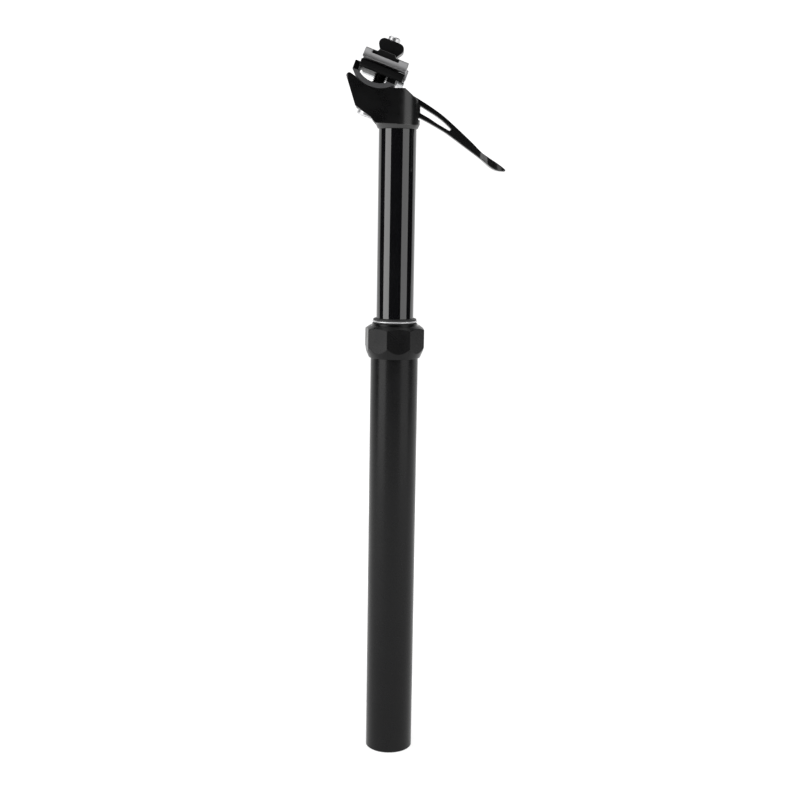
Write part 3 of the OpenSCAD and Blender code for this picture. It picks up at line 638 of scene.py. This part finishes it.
@dataclass
class Mast:
    """Fixed lower part: tube, collar nut, wiper and the pieces in its foot."""

    wall: float = 1.5
    foot_chamfer: float = 0.6
    thread_cut: float = 0.3
    thread_clear: float = 0.03
    nut_sides: int = 8
    nut_rim: float = 2.4
    nut_turn: float = 31.3
    nut_foot_taper: float = 6.1
    nut_foot_inset: float = 0.55
    nut_top_taper: float = 2.2
    nut_top_inset: float = 0.75
    nut_edge: float = 0.18
    nut_edge_turn: float = 15.0
    nut_neck: float = 1.2
    neck_wall: float = 1.3
    wiper_bore: float = 10.65
    wiper_wall: float = 1.0
    wiper_clear: float = 0.05
    wiper_crown: float = 0.5
    wiper_chamfer: float = 0.4
    wiper_edge: float = 0.08
    wiper_edge_turn: float = 40.0
    wire_r: float = 0.5
    wire_steps: int = 20
    groove_steps: int = 8
    keys: int = 3
    key_ring: float = 11.35
    key_r: float = 1.35
    key_run_in: float = 0.3
    keyway_steps: int = 8
    land_steps: int = 40
    body: str = "mast"

    def __post_init__(self) -> None:
        """Take the radii and heights from the frame."""
        self.tube = Box.of("lower_tube")
        self.nut = Box.of("collar_nut")
        self.wiper = Box.of("wiper_seal")
        self.ring = Box.of("wiper_ring")
        self.ring_z = (self.ring.low.z + self.ring.high.z) / 2
        self.radius = self.tube.high.x

    def build(self) -> None:
        """Build and dress every piece."""
        self.lower_tube()
        self.collar_nut()
        self.wiper_seal()
        self.wiper_ring()
        self.foot()

    def lower_tube(self) -> None:
        """Turn the lower tube, with its circlip groove and the keyways in its bore."""
        bore = self.radius - self.wall
        thread = self.radius - self.thread_cut
        foot, top = self.tube.low.z, self.tube.high.z
        clip = Box.of("plug_circlip")
        keyway_foot = Box.of("bottom_out_bumper").high.z
        run_in = keyway_foot - self.key_run_in
        bm = bmesh.new()
        revolve(bm, [
            (bore, run_in), (bore, clip.high.z), (clip.high.y, clip.high.z),
            (clip.high.y, clip.low.z), (bore, clip.low.z), (bore, foot),
            (self.radius - self.foot_chamfer, foot), (self.radius, foot + self.foot_chamfer),
            (self.radius, self.nut.low.z), (thread, self.nut.low.z), (thread, top),
        ], TURN_STEPS)
        keyed = [bm.verts.new((*place, keyway_foot)) for place in self.keyed_bore(bore)]
        mouth = [bm.edges.new(pair) for pair in zip(keyed, keyed[1:] + keyed[:1])]
        grown = bmesh.ops.extrude_edge_only(bm, edges=mouth)["geom"]
        upper = [part for part in grown if isinstance(part, BMVert)]
        bmesh.ops.translate(bm, vec=(0, 0, top - keyway_foot), verts=upper)
        bmesh.ops.bridge_loops(bm, edges=rim(bm, keyway_foot) + rim(bm, run_in))
        bmesh.ops.bridge_loops(bm, edges=rim(bm, top))
        bmesh.ops.recalc_face_normals(bm, faces=bm.faces)
        finished(bm, "lower_tube_body", "satin_black_alloy", self.body, "lower_tube")

    def keyed_bore(self, bore: float) -> list[Point2]:
        """Draw the section of the bore with a round keyway for each guide key.

        Args:
            bore: Radius of the bore.

        Returns:
            X and Y of the section's points, in order around the post.
        """
        ring, radius = self.key_ring, self.key_r
        mouth = math.acos((bore * bore + ring * ring - radius * radius) / (2 * bore * ring))
        swing = math.degrees(math.asin(bore * math.sin(mouth) / radius))
        half, apart = math.degrees(mouth), 360 / self.keys
        section: list[Point2] = []
        for key in range(self.keys):
            middle = 90 + key * apart
            turn = math.radians(middle)
            centre = (ring * math.cos(turn), ring * math.sin(turn))
            section += arc(centre, radius, (middle - swing, middle + swing), self.keyway_steps)
            section += arc((0, 0), bore, (middle + half, middle + apart - half), self.land_steps)[1:-1]
        return section

    def collar_nut(self) -> None:
        """Turn the collar nut's blank, then mill its eight flats."""
        flat = self.radius + self.nut_rim
        corner = flat / math.cos(math.pi / self.nut_sides)
        foot_r = flat - self.nut_foot_inset * self.nut_rim
        top_r = flat - self.nut_top_inset * self.nut_rim
        foot, neck_top = self.nut.low.z, self.nut.high.z
        top = neck_top - self.nut_neck
        seat = self.wiper.low.z
        thread = self.radius - self.thread_cut + self.thread_clear
        throat = self.wiper_bore + self.wiper_wall
        neck = throat + self.neck_wall
        bm = turned([
            (thread, foot), (foot_r, foot), (corner, foot + self.nut_foot_taper),
            (corner, top - self.nut_top_taper), (top_r, top), (neck, top), (neck, neck_top),
            (throat, neck_top), (throat, seat), (thread, seat),
        ])
        for side in range(self.nut_sides):
            angle = math.radians(self.nut_turn + (side + 0.5) * 360 / self.nut_sides)
            normal = Vector((math.cos(angle), math.sin(angle), 0))
            cut = bmesh.ops.bisect_plane(
                bm, geom=[*bm.verts, *bm.edges, *bm.faces], dist=WELD, plane_co=normal * flat,
                plane_no=normal, clear_outer=True,
            )
            border = [part for part in cut["geom_cut"] if isinstance(part, BMEdge)]
            bmesh.ops.edgeloop_fill(bm, edges=border)
        bmesh.ops.recalc_face_normals(bm, faces=bm.faces)
        soften(bm, self.nut_edge, self.nut_edge_turn)
        finished(bm, "collar_nut_body", "nut_black_alloy", self.body, "collar_nut")

    def wiper_seal(self) -> None:
        """Turn the wiper, with the groove that its ring lies in."""
        foot, top = self.wiper.low.z, self.wiper.high.z
        outer = self.wiper_bore + self.wiper_wall - self.wiper_clear
        flange = self.wiper.high.x
        neck_top = self.nut.high.z
        groove = arc((flange, self.ring_z), self.wire_r, (270, 90), self.groove_steps)
        bm = turned([
            (self.wiper_bore, foot), (outer, foot), (outer, neck_top), (flange, neck_top), *groove,
            (flange, top - self.wiper_crown), (self.wiper_bore + self.wiper_chamfer, top),
            (self.wiper_bore, top),
        ])
        soften(bm, self.wiper_edge, self.wiper_edge_turn)
        finished(bm, "wiper_lip", "seal_rubber", self.body, "wiper_seal")

    def wiper_ring(self) -> None:
        """Bend the wire ring around the wiper's lip."""
        centre = self.ring.high.x - self.wire_r
        bm = turned(arc((centre, self.ring_z), self.wire_r, (0, 360), self.wire_steps)[:-1])
        finished(bm, "wiper_wire", "bright_steel", self.body, "wiper_ring")

    def foot(self) -> None:
        """Round the edges of the pieces that close the tube's foot."""
        for node, name, slot, width in (
            ("bottom_plug", "foot_plug", "raw_alloy", 0.3),
            ("plug_circlip", "foot_circlip", "spring_steel", 0.15),
            ("foot_bolt", "foot_screw", "bright_steel", 0.2),
            ("foot_washer", "foot_disc", "bright_steel", 0.15),
        ):
            bm = cad_copy(node)
            soften(bm, width)
            finished(bm, name, slot, self.body, node)


@dataclass
class Post:
    """Sliding part: tube, forged head and the lever's pivot pin."""

    wall: float = 1.6
    groove: float = 0.3
    tube_edge: float = 0.12
    edge: float = 0.3
    body: str = "post"

    def build(self) -> None:
        """Build and dress every piece."""
        self.stanchion()
        self.head()

    def stanchion(self) -> None:
        """Turn the sliding tube, with the groove for its bushing."""
        box, bush = Box.of("stanchion"), Box.of("lower_bushing")
        outer = box.high.x
        bm = turned([
            (outer - self.wall, box.low.z), (outer, box.low.z), (outer, bush.low.z),
            (outer - self.groove, bush.low.z), (outer - self.groove, bush.high.z),
            (outer, bush.high.z), (outer, box.high.z), (outer - self.wall, box.high.z),
        ])
        soften(bm, self.tube_edge)
        finished(bm, "sliding_tube", "gloss_black_alloy", self.body, "stanchion")

    def head(self) -> None:
        """Round the edges of the forged head and of the lever's pivot pin."""
        for node, name, slot in (
            ("head", "forged_head", "head_black_alloy"),
            ("lever_pivot_pin", "pivot_pin", "bright_steel"),
        ):
            bm = cad_copy(node)
            soften(bm, self.edge)
            finished(bm, name, slot, self.body, node)


@dataclass
class ReleaseLever:
    """Lever that opens the cartridge's valve.

    Its lines run from the hub to the tip, in X and Z about the pivot. The strands join at the
    fourth knot of the top and bottom lines.
    """

    half_width: float = 4.0
    paddle_half: float = 7.0
    flare: Point2 = (38.6, 44.2)
    paddle_round: float = 47.3
    hub_r: float = 5.0
    bush_r: float = 2.98
    hub_sweep: Point2 = (203.0, 290.0)
    hub_steps: int = 8
    bore_steps: int = 32
    brow: tuple[Point2, ...] = ((1.6, 6.5), (-1.6, 6.4))
    nose: Point2 = (-6.8, 0.6)
    nose_r: float = 2.5
    nose_sweep: Point2 = (114.0, 276.0)
    nose_steps: int = 10
    edge: float = 0.5
    edge_segments: int = 3
    tip_half: float = 1.0
    join_knot: int = 3
    strand_steps: int = 16
    arm_steps: int = 64
    settle_steps: int = 12
    top: tuple[Point2, ...] = (
        (5.6, 4.2), (11.1, 0.85), (18.0, -3.85), (23.6, -8.5), (29.7, -13.9), (35.4, -19.1),
        (40.3, -23.9), (43.8, -26.5), (48.4, -29.4), (51.6, -31.5), (53.9, -33.0),
    )
    bottom: tuple[Point2, ...] = (
        (5.6, -5.8), (10.6, -8.3), (18.9, -12.9), (23.0, -15.6), (31.4, -21.6), (39.8, -27.6),
        (42.9, -30.1), (45.4, -32.1), (48.1, -33.5), (51.0, -34.1), (53.6, -34.2),
    )
    window_top: tuple[Point2, ...] = (
        (5.6, 0.9), (10.5, -2.0), (14.7, -4.55), (18.8, -7.6), (22.9, -11.35),
    )
    window_bottom: tuple[Point2, ...] = (
        (5.6, -2.9), (10.6, -5.6), (14.7, -8.2), (18.9, -10.6), (22.1, -12.35),
    )
    body: str = "release_lever"

    def build(self) -> None:
        """Draw the lever's side, make it solid and round its edges."""
        bm = bmesh.new()
        self.draw_side(bm)
        grown = bmesh.ops.extrude_face_region(bm, geom=list(bm.faces))["geom"]
        far = {part for part in grown if isinstance(part, BMVert)}
        for vert in bm.verts:
            half = self.half_at(vert.co.x)
            vert.co.y = half if vert in far else -half
        bmesh.ops.recalc_face_normals(bm, faces=bm.faces)
        soften(bm, self.edge, segments=self.edge_segments)
        pin = Box.of("lever_pivot_pin")
        middle = (pin.low + pin.high) / 2
        bmesh.ops.translate(bm, vec=(middle.x, 0, middle.z), verts=bm.verts)
        finished(bm, "lever_arm", "lever_black_alloy", self.body, "lever")

    def half_at(self, x: float) -> float:
        """Find the half width at a distance along the lever.

        Args:
            x: Distance before the pivot.

        Returns:
            Half of the width: straight, then a flare, then the paddle's round end.
        """
        start, end = self.flare
        share = min(max((x - start) / (end - start), 0.0), 1.0)
        half = self.half_width + (self.paddle_half - self.half_width) * share * share * (3 - 2 * share)
        past = max(x - self.paddle_round, 0.0)
        round_end = math.sqrt(max(self.paddle_half ** 2 - past ** 2, self.tip_half ** 2))
        return min(half, round_end)

    def draw_side(self, bm: BMesh) -> None:
        """Draw the flat side of the lever in the middle plane.

        Args:
            bm: Empty mesh that gets the faces.
        """
        join = self.join_knot * LINE_STEPS
        top, bottom = smooth_line(self.top), smooth_line(self.bottom)
        strands = [
            [bm.verts.new(point) for point in divided(line, self.strand_steps)]
            for line in (
                top[:join + 1], smooth_line(self.window_top), smooth_line(self.window_bottom),
                bottom[:join + 1],
            )
        ]
        upper = [list(pair) for pair in zip(strands[0], strands[1])]
        lower = [list(pair) for pair in zip(strands[2], strands[3])]
        arm = [[line[-1] for line in strands]]
        first = [vert.co.copy() for vert in arm[0]]
        height = (first[0] - first[3]).length
        shares = [(first[0] - first[row]).length / height for row in (1, 2)]
        lines = zip(divided(top[join:], self.arm_steps), divided(bottom[join:], self.arm_steps))
        for step, (high, low) in enumerate(lines):
            if step:
                settle = min(step / self.settle_steps, 1.0)
                inner = [
                    share + (even - share) * settle for share, even in zip(shares, (1 / 3, 2 / 3))
                ]
                arm.append([
                    bm.verts.new(high), *(bm.verts.new(high.lerp(low, share)) for share in inner),
                    bm.verts.new(low),
                ])
        for columns in (upper, lower, arm):
            for left, right in zip(columns, columns[1:]):
                for row in range(len(left) - 1):
                    bm.faces.new((left[row], left[row + 1], right[row + 1], right[row]))
        self.draw_hub(bm, [line[0] for line in strands])

    def draw_hub(self, bm: BMesh, roots: Sequence[BMVert]) -> None:
        """Draw the hub with its nose and its bore, and join it to the strands.

        Args:
            bm: Mesh that gets the faces.
            roots: First points of the top line, the window's two lines and the bottom line.
        """
        outline = [
            *self.brow,
            *arc(self.nose, self.nose_r, self.nose_sweep, self.nose_steps),
            *arc((0, 0), self.hub_r, self.hub_sweep, self.hub_steps),
        ]
        hole = arc((0, 0), self.bush_r, (0, 360), self.bore_steps)[:-1]
        loop = [roots[0], *(bm.verts.new((x, 0, z)) for x, z in outline), *reversed(roots[1:])]
        bore = [bm.verts.new((x, 0, z)) for x, z in hole]
        edges = []
        for ring in (loop, bore):
            for pair in zip(ring, ring[1:] + ring[:1]):
                edges.append(bm.edges.get(pair) or bm.edges.new(pair))
        bmesh.ops.triangle_fill(bm, edges=edges, use_beauty=True)


@dataclass
class SaddleClamp:
    """Clamp that holds the saddle's rails. Its bolt is drawn upright, then tilted."""

    bolt_along: float = 3.1
    bolt_r: float = 3.5
    thread_depth: float = 0.6
    pitch: float = 1.0
    thread_top_gap: float = 1.0
    thread_foot_gap: float = 1.2
    run_out: float = 0.2
    end_chamfer: float = 0.7
    head_edge: float = 0.3
    head_chamfer: float = 0.6
    socket: float = 5.0
    socket_share: float = 0.55
    ear_inner: float = 17.2
    inward: float = 0.1
    edge: float = 0.3
    body: str = "saddle_clamp"
    jaw: str = "clamp_jaw"

    def __post_init__(self) -> None:
        """Find the bolt's place in the part's frame."""
        self.place = (
            Matrix.Translation(CLAMP_CENTRE) @ Matrix.Rotation(math.radians(CLAMP_TILT), 4, "Y")
            @ Matrix.Translation((self.bolt_along, 0, 0))
        )

    def build(self) -> None:
        """Build and dress every piece."""
        for node, name, slot, body in (
            ("upper_clamp", "upper_jaw", "clamp_grey_alloy", self.jaw),
            ("clamp_nut", "lobed_nut", "nut_black_steel", self.jaw),
            ("bolt_washer", "rounded_washer", "bright_steel", self.body),
        ):
            bm = cad_copy(node)
            soften(bm, self.edge)
            finished(bm, name, slot, body, node)
        self.rocker()
        self.bolt()

    def rocker(self) -> None:
        """Round the lower clamp's edges, and bare the faces of its ears that look inward."""
        bm = cad_copy("lower_clamp")
        soften(bm, self.edge)
        bm.normal_update()
        for face in bm.faces:
            side = face.calc_center_median().y
            if abs(side) > self.ear_inner and face.normal.y * math.copysign(1, side) < -self.inward:
                face.material_index = SECOND_MATERIAL
        rocker = finished(bm, "rocker", "clamp_black_alloy", self.body, "lower_clamp")
        rocker.data.materials.append(FINISHES["raw_alloy"].material())

    def heights(self, node: str) -> Point2:
        """Measure a node along the bolt.

        Args:
            node: Name of the CAD node.

        Returns:
            Its lowest and highest point in the bolt's own frame.
        """
        back = self.place.inverted()
        found = [(back @ (vert.co / MM)).z for vert in frame["nodes"][node].data.vertices]
        return min(found), max(found)

    def bolt(self) -> None:
        """Cut the bolt's thread and close it with a plain end and a socket head."""
        under, end = self.heights("clamp_bolt")
        head_top = self.heights("bolt_washer")[0]
        high = self.heights("clamp_nut")[1] - self.thread_top_gap
        low = head_top + self.thread_foot_gap
        above, beneath = high + self.run_out, low - self.run_out
        head_r = Box.of("clamp_bolt").high.y
        socket_depth = self.socket_share * (head_top - under)
        bm = bmesh.new()
        helix(bm, self.bolt_r - self.thread_depth, self.bolt_r, self.pitch, low, high)
        # The thread's faces take the dark steel, a painted shade in its grooves
        for face in bm.faces:
            face.material_index = SECOND_MATERIAL
        revolve(bm, [
            (self.bolt_r, above), (self.bolt_r, end - self.end_chamfer),
            (self.bolt_r - self.end_chamfer, end), (0, end),
        ])
        revolve(bm, [
            (self.bolt_r, beneath), (self.bolt_r, head_top), (head_r - self.head_edge, head_top),
            (head_r, head_top - self.head_edge), (head_r, under + self.head_chamfer),
            (head_r - self.head_chamfer, under),
        ])
        floor = bmesh.ops.create_circle(
            bm, cap_ends=True, segments=6, radius=self.socket / math.sqrt(3),
            matrix=Matrix.Translation((0, 0, under + socket_depth)),
        )["verts"]
        mouth = rim(bm, under)
        grown = bmesh.ops.extrude_edge_only(bm, edges=list(floor[0].link_faces[0].edges))["geom"]
        hexagon = [part for part in grown if isinstance(part, BMEdge)]
        bmesh.ops.translate(
            bm, vec=(0, 0, -socket_depth), verts=[v for v in grown if isinstance(v, BMVert)],
        )
        bmesh.ops.bridge_loops(bm, edges=mouth + hexagon)
        bmesh.ops.bridge_loops(bm, edges=rim(bm, high) + rim(bm, above))
        bmesh.ops.bridge_loops(bm, edges=rim(bm, low) + rim(bm, beneath))
        bmesh.ops.remove_doubles(bm, verts=bm.verts, dist=WELD)
        bmesh.ops.recalc_face_normals(bm, faces=bm.faces)
        bmesh.ops.transform(bm, matrix=self.place, verts=bm.verts)
        screw = finished(bm, "clamp_screw", "bright_steel", self.body, "clamp_bolt")
        # Dark steel for the thread: painted shade
        screw.data.materials.append(FINISHES["nut_black_steel"].material())


def dress_nodes() -> None:
    """Give every CAD node the finish of its slot."""
    for part in frame["record"]["subparts"]:
        node = frame["nodes"][part["node"]]
        finish = FINISHES[part["material_slot"]].material()
        for slot in node.material_slots:
            slot.material = finish


@dataclass(frozen=True)
class Softbox:
    """Rectangular soft lamp, in metres: its middle, the point it faces and its size."""

    name: str
    place: Vector
    aim: Vector
    size: Point2
    radiance: float

    @classmethod
    def around(
        cls, name: str, azimuth: float, size: Point2, radiance: float, distance: float = 1.0,
        height: float = 0.35,
    ) -> "Softbox":
        """Stand a lamp upright beside the post.

        Args:
            name: Name of the lamp.
            azimuth: Degrees to the right of the camera.
            size: Width and height, in metres.
            radiance: Brightness of its face.
            distance: Distance from the post, in metres.
            height: Height of its middle, in metres.

        Returns:
            The lamp, facing the post.
        """
        turn = math.radians(azimuth)
        place = Vector((distance * math.sin(turn), -distance * math.cos(turn), height))
        return cls(name, place, Vector((0, 0, height)), size, radiance)

    def build(self) -> None:
        """Place the lamp."""
        lamp = bpy.data.lights.new(self.name, "AREA")
        lamp.shape = "RECTANGLE"
        lamp.size, lamp.size_y = self.size
        lamp.energy = self.radiance * math.pi * self.size[0] * self.size[1]
        stand = bpy.data.objects.new(self.name, lamp)
        stand.location = self.place
        stand.rotation_mode = "QUATERNION"
        stand.rotation_quaternion = (self.aim - self.place).to_track_quat("-Z", "Y")
        stand.visible_camera = False
        bpy.context.collection.objects.link(stand)


@dataclass
class Studio:
    """Floor, backdrop, lamps and camera."""

    floor_front: float = -1.25
    floor_half: float = 1.3
    flare_y: float = 0.1
    backdrop_y: float = 2.4
    backdrop_half: float = 5.0
    backdrop_height: float = 2.6
    paper_grey: float = 0.8
    shade_grey: float = 0.7
    room_grey: float = 0.012
    near_glow: float = 0.78
    shadow_reach: Point2 = (0.12, 0.6)
    lens: float = 58.5
    sensor: float = 36.0
    elevation: float = 9.157
    distance: float = 0.7507
    roll: float = 0.917
    target: tuple[float, float, float] = (0.0037, 0.0, 0.2099)

    def build(self) -> None:
        """Set the stage."""
        self.camera()
        self.world()
        self.stage()
        for lamp in (
            Softbox.around("left_softbox", azimuth=-58.5, size=(0.70, 1.3), radiance=3.0),
            Softbox.around("right_softbox", azimuth=54.0, size=(0.77, 1.3), radiance=1.5),
            Softbox(
                "top_softbox", place=Vector((0, -0.2, 1.6)), aim=Vector((0, -0.2, 0)), size=(1.2, 2.0),
                radiance=1.3,
            ),
        ):
            lamp.build()
        bpy.context.scene.view_settings.view_transform = "Standard"

    def camera(self) -> None:
        """Place the camera at the photograph's viewing angle."""
        lens = bpy.data.cameras.new("camera")
        lens.lens, lens.sensor_width = self.lens, self.sensor
        lens.clip_start, lens.clip_end = 0.01, 50.0
        camera = bpy.data.objects.new("camera", lens)
        rise = math.radians(self.elevation)
        back = Vector((0, -math.cos(rise), math.sin(rise)))
        camera.location = Vector(self.target) + back * self.distance
        camera.rotation_mode = "QUATERNION"
        turn = Quaternion((0, 0, 1), math.radians(self.roll))
        camera.rotation_quaternion = (-back).to_track_quat("-Z", "Y") @ turn
        bpy.context.collection.objects.link(camera)
        bpy.context.scene.camera = camera

    def world(self) -> None:
        """Make a dim room whose far walls look white to the camera."""
        world = bpy.data.worlds.new("room")
        world.use_nodes = True
        bpy.context.scene.world = world
        nodes, links = world.node_tree.nodes, world.node_tree.links
        dim = nodes["Background"]
        dim.inputs["Color"].default_value = (*(self.room_grey,) * 3, 1)
        white = nodes.new("ShaderNodeBackground")
        white.inputs["Color"].default_value = (1, 1, 1, 1)
        ray = nodes.new("ShaderNodeLightPath")
        mix = nodes.new("ShaderNodeMixShader")
        links.new(ray.outputs["Is Camera Ray"], mix.inputs["Fac"])
        links.new(dim.outputs[0], mix.inputs[1])
        links.new(white.outputs[0], mix.inputs[2])
        links.new(mix.outputs[0], nodes["World Output"].inputs["Surface"])

    def paper(self) -> bpy.types.Material:
        """Make the pale paper of the floor and the backdrop.

        Returns:
            A material that is white to the camera and in reflections, and keeps a faint shadow.
        """
        made = bpy.data.materials.new("studio_paper")
        made.use_nodes = True
        nodes, links = made.node_tree.nodes, made.node_tree.links
        nodes.remove(nodes["Principled BSDF"])
        plain = nodes.new("ShaderNodeBsdfDiffuse")
        plain.inputs["Color"].default_value = (*(self.paper_grey,) * 3, 1)
        shade = nodes.new("ShaderNodeBsdfDiffuse")
        shade.inputs["Color"].default_value = (*(self.shade_grey,) * 3, 1)
        glow = nodes.new("ShaderNodeEmission")
        spot = nodes.new("ShaderNodeTexCoord")
        away = nodes.new("ShaderNodeVectorMath")
        away.operation = "LENGTH"
        rise = nodes.new("ShaderNodeMapRange")
        rise.inputs["From Min"].default_value, rise.inputs["From Max"].default_value = self.shadow_reach
        rise.inputs["To Min"].default_value = self.near_glow
        seen = nodes.new("ShaderNodeAddShader")
        ray = nodes.new("ShaderNodeLightPath")
        direct = nodes.new("ShaderNodeMath")
        direct.operation = "MAXIMUM"
        mix = nodes.new("ShaderNodeMixShader")
        links.new(ray.outputs["Is Camera Ray"], direct.inputs[0])
        links.new(ray.outputs["Is Glossy Ray"], direct.inputs[1])
        links.new(spot.outputs["Object"], away.inputs[0])
        links.new(away.outputs["Value"], rise.inputs["Value"])
        links.new(rise.outputs["Result"], glow.inputs["Strength"])
        links.new(shade.outputs[0], seen.inputs[0])
        links.new(glow.outputs[0], seen.inputs[1])
        links.new(direct.outputs[0], mix.inputs["Fac"])
        links.new(plain.outputs[0], mix.inputs[1])
        links.new(seen.outputs[0], mix.inputs[2])
        links.new(mix.outputs[0], nodes["Material Output"].inputs["Surface"])
        return made

    def stage(self) -> None:
        """Lay the floor and stand the backdrop behind the post."""
        bm = bmesh.new()
        front = [bm.verts.new((side * self.floor_half, self.floor_front, 0)) for side in (-1, 1)]
        edges = [bm.edges.new(front)]
        for move, widen in (
            ((0, self.flare_y - self.floor_front, 0), 1.0),
            ((0, self.backdrop_y - self.flare_y, 0), self.backdrop_half / self.floor_half),
            ((0, 0, self.backdrop_height), 1.0),
        ):
            grown = bmesh.ops.extrude_edge_only(bm, edges=edges)["geom"]
            ends = [part for part in grown if isinstance(part, BMVert)]
            bmesh.ops.translate(bm, vec=move, verts=ends)
            bmesh.ops.scale(bm, vec=(widen, 1, 1), verts=ends)
            edges = [part for part in grown if isinstance(part, BMEdge) and set(part.verts) <= set(ends)]
        mesh = bpy.data.meshes.new("paper_sweep")
        bm.to_mesh(mesh)
        bm.free()
        mesh.materials.append(self.paper())
        sweep = bpy.data.objects.new("paper_sweep", mesh)
        bpy.context.collection.objects.link(sweep)


def main() -> None:
    """Build the seatpost's looks and its studio."""
    logging.basicConfig(level=logging.INFO, format="%(name)s: %(message)s")
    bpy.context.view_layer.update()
    dress_nodes()
    for assembly in (Mast(), Post(), ReleaseLever(), SaddleClamp(), Studio()):
        assembly.build()


if __name__ == "__main__":
    main()
